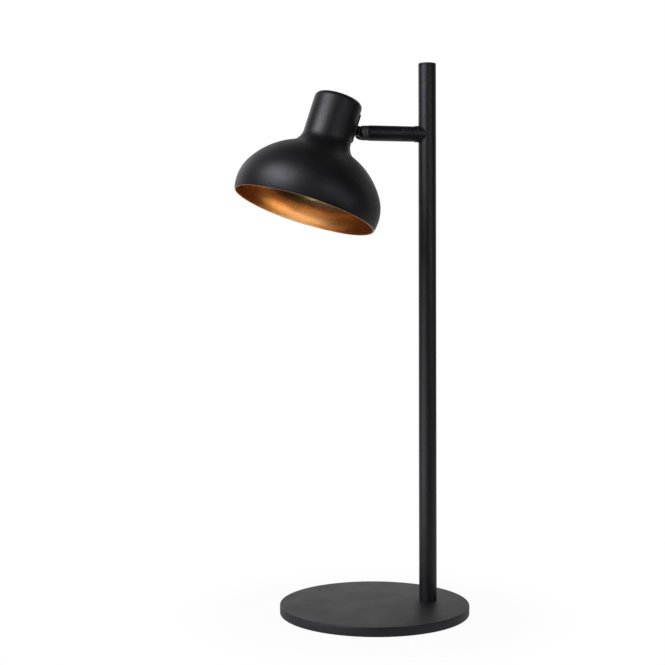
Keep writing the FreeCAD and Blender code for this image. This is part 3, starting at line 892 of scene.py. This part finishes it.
@dataclass(frozen=True)
class Pole:
    """The upright tube and its plug."""

    radius: float = 8.0
    bore: float = 6.5
    bottom: float = LAYOUT.plate_top
    top: float = 496.3
    cap: float = 2.0
    cap_edge: float = 1.0
    seam: float = 0.05
    foot_ease: float = 0.15
    rim_ease: float = 0.12
    spigot: float = 6.4
    spigot_depth: float = 6.0

    def build(self, palette: Palette) -> None:
        """Makes and dresses the pole.

        Args:
            palette: The lamp's finishes.
        """
        place = LAYOUT.upright(LAYOUT.pole_x)
        rim = self.top - self.cap - self.seam
        tube = section(self.bore, self.radius, self.bottom, rim, (self.foot_ease, self.rim_ease))
        piece = turned("pole_turned", eased(tube), place)
        carry(piece, "stand", palette.coat, "black_coat", "pole_tube")
        plug = [
            Corner(0, self.top),
            Corner(self.radius, self.top, self.cap_edge),
            Corner(self.radius, rim + self.seam, self.rim_ease),
            Corner(self.spigot, rim + self.seam),
            Corner(self.spigot, rim - self.spigot_depth),
            Corner(0, rim - self.spigot_depth),
        ]
        piece = turned("pole_plug_turned", eased(plug, steps=6), place)
        carry(piece, "stand", palette.coat, "black_coat", "pole_cap")


@dataclass(frozen=True)
class Swivel:
    """The coped saddle, the ribbed sleeve and the arm's tube."""

    start: float = 12.1
    length: float = 13.7
    radius: float = 7.0
    land: float = 2.55
    pitch: float = 2.9
    groove: float = 0.9
    depth: float = 0.5
    count: int = 4
    fork_start: float = 55.2
    bore: float = 3.05
    inner: float = 5.9
    web: float = 4.0
    end_ease: float = 0.3
    tube_ease: float = 0.25
    seam: float = 0.05
    brow: float = 0.18
    slope: float = 0.12
    fillet: float = 0.1

    def ribs(self) -> list[Corner]:
        """The sleeve's outer outline with its grooves.

        Returns:
            The outline's corners from the pole's side outwards.
        """
        end = self.start + self.length
        corners = [Corner(self.bore, self.start), Corner(self.radius, self.start, self.end_ease)]
        floor = self.radius - self.depth
        for index in range(self.count):
            low = self.start + self.land + index * self.pitch
            high = low + self.groove
            corners += [
                Corner(self.radius, low, self.brow),
                Corner(floor, low + self.slope, self.fillet),
                Corner(floor, high - self.slope, self.fillet),
                Corner(self.radius, high, self.brow),
            ]
        return corners + [
            Corner(self.radius, end, self.end_ease),
            Corner(self.inner, end),
            Corner(self.inner, self.start + self.web),
            Corner(self.bore, self.start + self.web),
            Corner(self.bore, self.start),
        ]

    def build(self, palette: Palette) -> None:
        """Makes and dresses the swivel and the arm's tube.

        Args:
            palette: The lamp's finishes.
        """
        place = LAYOUT.arm()
        sleeve = turned("swivel_sleeve_turned", eased(self.ribs(), steps=3), place, angle=ROUND_ANGLE)
        carry(sleeve, "arm", palette.coat, "black_coat", "swivel_sleeve")
        low = self.start + self.length + self.seam
        high = self.fork_start - self.seam
        tube = section(self.inner, self.radius, low, high, (self.tube_ease, self.tube_ease))
        piece = turned("arm_tube_turned", eased(tube), place)
        carry(piece, "arm", palette.coat, "black_coat", "arm_tube")
        carry(refined("arm_saddle"), "stand", palette.coat, "black_coat", "arm_saddle")


@dataclass(frozen=True)
class Knuckle:
    """The fork, the slotted pivot screw and the bracket on the neck."""

    flat: float = 5.6
    head_radius: float = 4.2
    head_height: float = 2.4
    slot_width: float = 1.6
    slot_depth: float = 1.2
    seam: float = 0.05
    dome: float = 1.0
    dome_inset: float = 0.35
    edge_ease: float = 0.12
    shank: float = 2.0
    shank_end: float = 3.6
    tip_ease: float = 0.3
    tip: float = 3.85

    def screw(self) -> Piece:
        """Turns the pan head screw and cuts its slot.

        Returns:
            The screw.
        """
        low = -self.flat - self.seam
        top = low - self.head_height
        corners = [
            Corner(0, top),
            Corner(self.head_radius - self.dome_inset, top + self.edge_ease, self.dome),
            Corner(self.head_radius, low, self.edge_ease),
            Corner(self.shank, low),
            Corner(self.shank, self.flat + self.shank_end, self.tip_ease),
            Corner(0, self.flat + self.tip),
        ]
        place = LAYOUT.pivot()
        piece = turned("pivot_screw_turned", eased(corners, steps=7), place, steps=72, angle=CRISP_ANGLE)
        size = Matrix.Diagonal((3 * self.head_radius, self.slot_width, 2 * self.slot_depth, 1.0))
        cut_block(piece, "slot", place @ Matrix.Translation((0, 0, top)) @ size)
        return piece

    def build(self, palette: Palette) -> None:
        """Makes and dresses the knuckle.

        Args:
            palette: The lamp's finishes.
        """
        carry(refined("arm_fork", ease=0.25), "arm", palette.coat, "black_coat", "arm_fork")
        carry(self.screw(), "arm", palette.black_screw, "black_coat", "pivot_screw")
        carry(refined("pivot_nut", ease=0.2), "arm", palette.black_screw, "black_coat", "pivot_nut")
        carry(refined("neck_bracket", ease=0.2), "head", palette.coat, "black_coat", "neck_bracket")


@dataclass(frozen=True)
class Shade:
    """The spun shade, from its rim to its crown."""

    wall: float = 1.0
    widest: float = 65.9
    widest_height: float = 10.1
    lower: float = 36.4
    upper: float = 67.0
    flare: float = 15.2
    neck: float = 22.0
    corner: float = 5.2
    crown: float = 170.0
    height: float = 108.3
    lower_angle: float = 29.7
    lip: float = 0.20

    def profile(self, inset: float) -> list[Point]:
        """The outline from the rim to the axis.

        Args:
            inset: How far it lies inside the outer surface.

        Returns:
            The outline's points.
        """
        knee = math.radians(self.lower_angle)
        low = (self.widest - self.lower, self.widest_height)
        step = self.lower - self.upper
        mid = (low[0] + step * math.cos(knee), low[1] + step * math.sin(knee))
        reach = self.upper + self.flare
        flare_r = self.neck + self.flare
        flare = (flare_r, mid[1] + math.sqrt(reach**2 - (flare_r - mid[0]) ** 2))
        crown = (0.0, self.height - self.crown)
        corner_r = self.neck - self.corner
        corner = (corner_r, crown[1] + math.sqrt((self.crown - self.corner) ** 2 - corner_r**2))
        shoulder = math.atan2(flare[1] - mid[1], flare[0] - mid[0])
        top = math.atan2(corner[1] - crown[1], corner[0] - crown[0])
        rim = -math.asin(self.widest_height / self.lower)
        points = arc(low, self.lower - inset, rim, knee, steps=20)
        points += arc(mid, self.upper - inset, knee, shoulder, steps=22)[1:]
        points += arc(flare, self.flare + inset, shoulder + math.pi, math.pi, steps=14)[1:]
        points += arc(corner, self.corner - inset, 0.0, top, steps=8)
        return points + arc(crown, self.crown - inset, top, math.pi / 2, steps=6)[1:]

    def rim(self) -> list[Point]:
        """The half round at the rim, from the inner wall to the outer one.

        Returns:
            The points between the two walls' ends.
        """
        turn = -math.asin(self.widest_height / self.lower)
        middle = self.lower - self.wall / 2
        out = self.widest - self.lower + middle * math.cos(turn)
        up = self.widest_height + middle * math.sin(turn)
        return arc((out, up), self.wall / 2, turn - math.pi, turn, steps=8)[1:-1]

    def build(self, palette: Palette) -> None:
        """Turns the shade and lines it with copper.

        Args:
            palette: The lamp's finishes.
        """
        inner = self.profile(self.wall)[::-1]
        outer = self.profile(0.0)
        place = LAYOUT.head()
        points = inner + self.rim() + outer
        piece = turned("shade_spun", points, place, steps=224, angle=ROUND_ANGLE)
        piece.data.materials.append(palette.coat)
        piece.data.materials.append(palette.copper)
        back = place.inverted()
        middle = [((a[0] + b[0]) / 2, (a[1] + b[1]) / 2) for a, b in zip(inner[::-1], outer)]
        for face in piece.data.polygons:
            spot = back @ face.center
            here = (math.hypot(spot.x, spot.y), spot.z)
            near = min(range(len(middle)), key=lambda i: math.dist(middle[i], here))
            wall = (outer[near][0] - middle[near][0], outer[near][1] - middle[near][1])
            side = (here[0] - middle[near][0]) * wall[0] + (here[1] - middle[near][1]) * wall[1]
            edge = self.lip * self.wall**2 if here[1] < self.widest_height / 2 else 0.0
            face.material_index = 1 if side < edge else 0
        carry(piece, "head", palette.coat, "black_coat", "shade")


@dataclass(frozen=True)
class Lighting:
    """The reflector lamp and its holder inside the neck."""

    base_top: float = 83.0
    length: float = 50.0
    base_radius: float = 13.0
    base_low: float = 71.0
    radius: float = 25.0
    shoulder: float = 24.6
    shoulder_rise: float = 9.0
    mouth: float = 22.6
    mouth_depth: float = 3.0
    lens: float = 22.5
    lens_front: float = 0.45
    lens_back: float = 2.95
    lens_ease: float = 0.5

    def build(self, palette: Palette) -> None:
        """Makes and dresses the lamp and its holder.

        Args:
            palette: The lamp's finishes.
        """
        place = LAYOUT.head()
        front = self.base_top - self.length
        body = [
            Corner(0, self.base_top),
            Corner(self.base_radius, self.base_top, ease=0.6),
            Corner(self.base_radius, self.base_low, ease=1.2),
            Corner(self.shoulder, front + self.shoulder_rise, ease=2.0),
            Corner(self.radius, front, ease=0.9),
            Corner(self.mouth, front, ease=0.3),
            Corner(self.mouth, front + self.mouth_depth),
            Corner(0, front + self.mouth_depth),
        ]
        piece = turned("lamp_body_turned", eased(body), place, steps=128)
        carry(piece, "head", palette.white, "lamp_white", "lamp_body")
        low = front + self.lens_front
        lens = section(0.0, self.lens, low, front + self.lens_back, (self.lens_ease, 0.0))
        piece = turned("lamp_lens_turned", eased(lens), place)
        carry(piece, "head", palette.lens, "lens_frosted", "lamp_lens")
        carry(refined("lamp_holder"), "head", palette.ceramic, "holder_ceramic", "lamp_holder")
        carry(refined("holder_strap", ease=0.1), "head", palette.zinc, "plain_steel", "holder_strap")


@dataclass(frozen=True)
class Hardware:
    """The nodes that keep their own mesh and only get a finish."""

    def build(self, palette: Palette) -> None:
        """Dresses them.

        Args:
            palette: The lamp's finishes.
        """
        plan = {
            palette.zinc: (
                "foot_washer", "foot_nut", "foot_stud", "foot_insert", "stop_pin", "swivel_stud",
                "swivel_spring", "swivel_nut", "sleeve_coupler", "bracket_screws", "holder_screws",
            ),
            palette.ring: ("brake_washer", "tilt_washers"),
            palette.jacket: ("pole_lead", "arm_lead", "head_lead"),
        }
        for material, nodes in plan.items():
            for node in nodes:
                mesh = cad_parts[node].data
                mesh.materials.clear()
                mesh.materials.append(material)
                LOG.info("%s is dressed in %s", node, material.name)


# Studio


@dataclass(frozen=True)
class SoftBox:
    """A square soft light that faces the lamp."""

    name: str
    azimuth: float
    height: float
    distance: float
    size: float
    radiance: float

    def build(self, forward: float, target: Vector) -> None:
        """Places the light.

        Args:
            forward: The camera's heading in degrees.
            target: The point it faces.
        """
        lamp = bpy.data.lights.new(self.name, "AREA")
        lamp.shape = "SQUARE"
        lamp.size = self.size
        lamp.energy = math.pi * self.radiance * self.size**2
        turn = math.radians(forward - self.azimuth)
        rise = math.radians(self.height)
        away = Vector((-math.sin(turn) * math.cos(rise), -math.cos(turn) * math.cos(rise), math.sin(rise)))
        thing = bpy.data.objects.new(self.name, lamp)
        thing.location = target + away * self.distance
        thing.rotation_euler = away.to_track_quat("Z", "Y").to_euler()
        bpy.context.scene.collection.objects.link(thing)


@dataclass(frozen=True)
class Studio:
    """The photograph's camera, soft lights, a pale floor and a pale world.

    A span holds a range's two ends and what they become.
    """

    heading: float = 15.0
    camera_place: tuple[float, float, float] = (-0.3621, -1.2072, 0.3182)
    lens: float = 75.79
    shift: float = -0.1101
    camera_roll: float = -0.09
    table_left: float = 0.24
    table_right: float = 0.60
    table_front: float = 0.20
    table_back: float = 0.60
    paper: float = 0.86
    veil_levels: Span = (-0.20, 0.45, 0.30, 0.85)
    veil_shares: Span = (0.13, 0.19, 0.96, 1.0)
    room: float = 0.005
    backdrop: Span = (0.25, 0.70, 0.0, 0.60)
    backdrop_fade: Span = (0.55, 0.90, 1.0, 0.0)
    target: tuple[float, float, float] = (-0.03, 0.0, 0.36)
    boxes: tuple[SoftBox, ...] = (
        SoftBox("left_box", -50.0, 35.0, 1.3, 0.80, 6.3),
        SoftBox("right_box", 36.0, 15.0, 1.5, 0.60, 1.8),
        SoftBox("right_side", 62.0, -4.0, 1.4, 0.50, 1.3),
        SoftBox("back_box", -148.0, 16.0, 2.0, 0.70, 1.1),
        SoftBox("low_card", -66.0, -38.0, 0.55, 0.34, 2.1),
        SoftBox("front_card", -30.0, -40.0, 0.55, 0.30, 1.2),
    )

    def camera(self) -> None:
        """Sets the photograph's camera."""
        data = bpy.data.cameras.new("photo_camera")
        data.sensor_width = 36.0
        data.lens = self.lens
        data.shift_y = self.shift
        data.clip_start = 0.05
        data.clip_end = 50.0
        camera = bpy.data.objects.new("photo_camera", data)
        heading = Matrix.Rotation(math.radians(-self.heading), 4, "Z")
        level = Matrix.Rotation(math.radians(90), 4, "X")
        roll = Matrix.Rotation(math.radians(self.camera_roll), 4, "Z")
        camera.matrix_world = Matrix.Translation(self.camera_place) @ heading @ level @ roll
        bpy.context.scene.collection.objects.link(camera)
        bpy.context.scene.camera = camera

    def floor(self) -> None:
        """Lays the pale table, which shows white, keeps the lamp's faint shadow and is clear from below."""
        clear_selection()
        heading = Matrix.Rotation(math.radians(-self.heading), 4, "Z")
        across = (self.table_right - self.table_left) / 2
        middle = heading @ Vector((across, (self.table_back - self.table_front) / 2, 0))
        bpy.ops.mesh.primitive_plane_add(size=1.0, location=(0, 0, 0))
        plane = bpy.context.object
        plane.name = "studio_table"
        wide = self.table_left + self.table_right
        size = Matrix.Diagonal((wide, self.table_back + self.table_front, 1.0, 1.0))
        settle(plane, Matrix.Translation(middle) @ heading @ size)
        material = bpy.data.materials.new("studio_table")
        material.use_nodes = True
        graph = Graph(material.node_tree)
        graph.tree.nodes.clear()
        paper = graph.add("ShaderNodeBsdfDiffuse", {"Color": grey(self.paper)}).outputs[0]
        spot = graph.add("ShaderNodeTexCoord").outputs["Object"]
        along = graph.along(spot, heading @ Vector((0, 1, 0)))
        seen = graph.add("ShaderNodeLightPath").outputs["Is Camera Ray"]
        strength = graph.math("MAXIMUM", graph.span(along, *self.veil_levels), seen)
        veil = graph.add("ShaderNodeEmission", {"Color": grey(1.0), "Strength": strength}).outputs[0]
        away = graph.add("ShaderNodeVectorMath", {0: spot}, operation="LENGTH").outputs["Value"]
        share = graph.math("MULTIPLY", self.watched(graph), graph.span(away, *self.veil_shares))
        mixed = graph.add("ShaderNodeMixShader", {0: share, 1: paper, 2: veil}).outputs[0]
        below = graph.add("ShaderNodeNewGeometry").outputs["Backfacing"]
        clear = graph.add("ShaderNodeBsdfTransparent").outputs[0]
        sided = graph.add("ShaderNodeMixShader", {0: below, 1: mixed, 2: clear}).outputs[0]
        graph.add("ShaderNodeOutputMaterial", {0: sided})
        plane.data.materials.append(material)

    def watched(self, graph: Graph) -> Socket:
        """Tells the rays that see the table from those that only light the lamp.

        Args:
            graph: The table's graph.

        Returns:
            One for camera, glossy and transmission rays, and zero for the rest.
        """
        path = graph.add("ShaderNodeLightPath").outputs
        seen = graph.math("MAXIMUM", path["Is Camera Ray"], path["Is Glossy Ray"])
        return graph.math("MAXIMUM", seen, path["Is Transmission Ray"])

    def world(self) -> None:
        """Sets a dim room with a white backdrop behind the lamp."""
        world = bpy.data.worlds.new("studio")
        bpy.context.scene.world = world
        world.use_nodes = True
        graph = Graph(world.node_tree)
        graph.tree.nodes.clear()
        towards = graph.add("ShaderNodeTexCoord").outputs["Generated"]
        turn = math.radians(self.heading)
        facing = graph.along(towards, Vector((math.sin(turn), math.cos(turn), 0)))
        rise = graph.add("ShaderNodeSeparateXYZ", {0: towards}).outputs[2]
        across = graph.span(facing, *self.backdrop)
        backdrop = graph.math("MULTIPLY", across, graph.span(rise, *self.backdrop_fade))
        level = graph.math("MAXIMUM", self.room, backdrop)
        path = graph.add("ShaderNodeLightPath").outputs
        level = graph.math("MAXIMUM", level, path["Is Camera Ray"])
        level = graph.math("MAXIMUM", level, path["Is Transmission Ray"])
        light = graph.add("ShaderNodeBackground", {0: grey(1.0), 1: level}).outputs[0]
        graph.add("ShaderNodeOutputWorld", {0: light})

    def build(self) -> None:
        """Sets up the camera, floor, world and lights."""
        self.camera()
        self.floor()
        self.world()
        for box in self.boxes:
            box.build(self.heading, Vector(self.target))
        bpy.context.scene.view_settings.view_transform = "Standard"


def main() -> None:
    """Builds the studio, the finishes and every sub-assembly in order."""
    logging.basicConfig(level=logging.INFO, format="%(name)s %(message)s")
    Studio().build()
    palette = Palette()
    for assembly in (Base(), Pole(), Swivel(), Knuckle(), Shade(), Lighting(), Hardware()):
        assembly.build(palette)
        LOG.info("%s is finished", type(assembly).__name__)


if __name__ == "__main__":
    main()
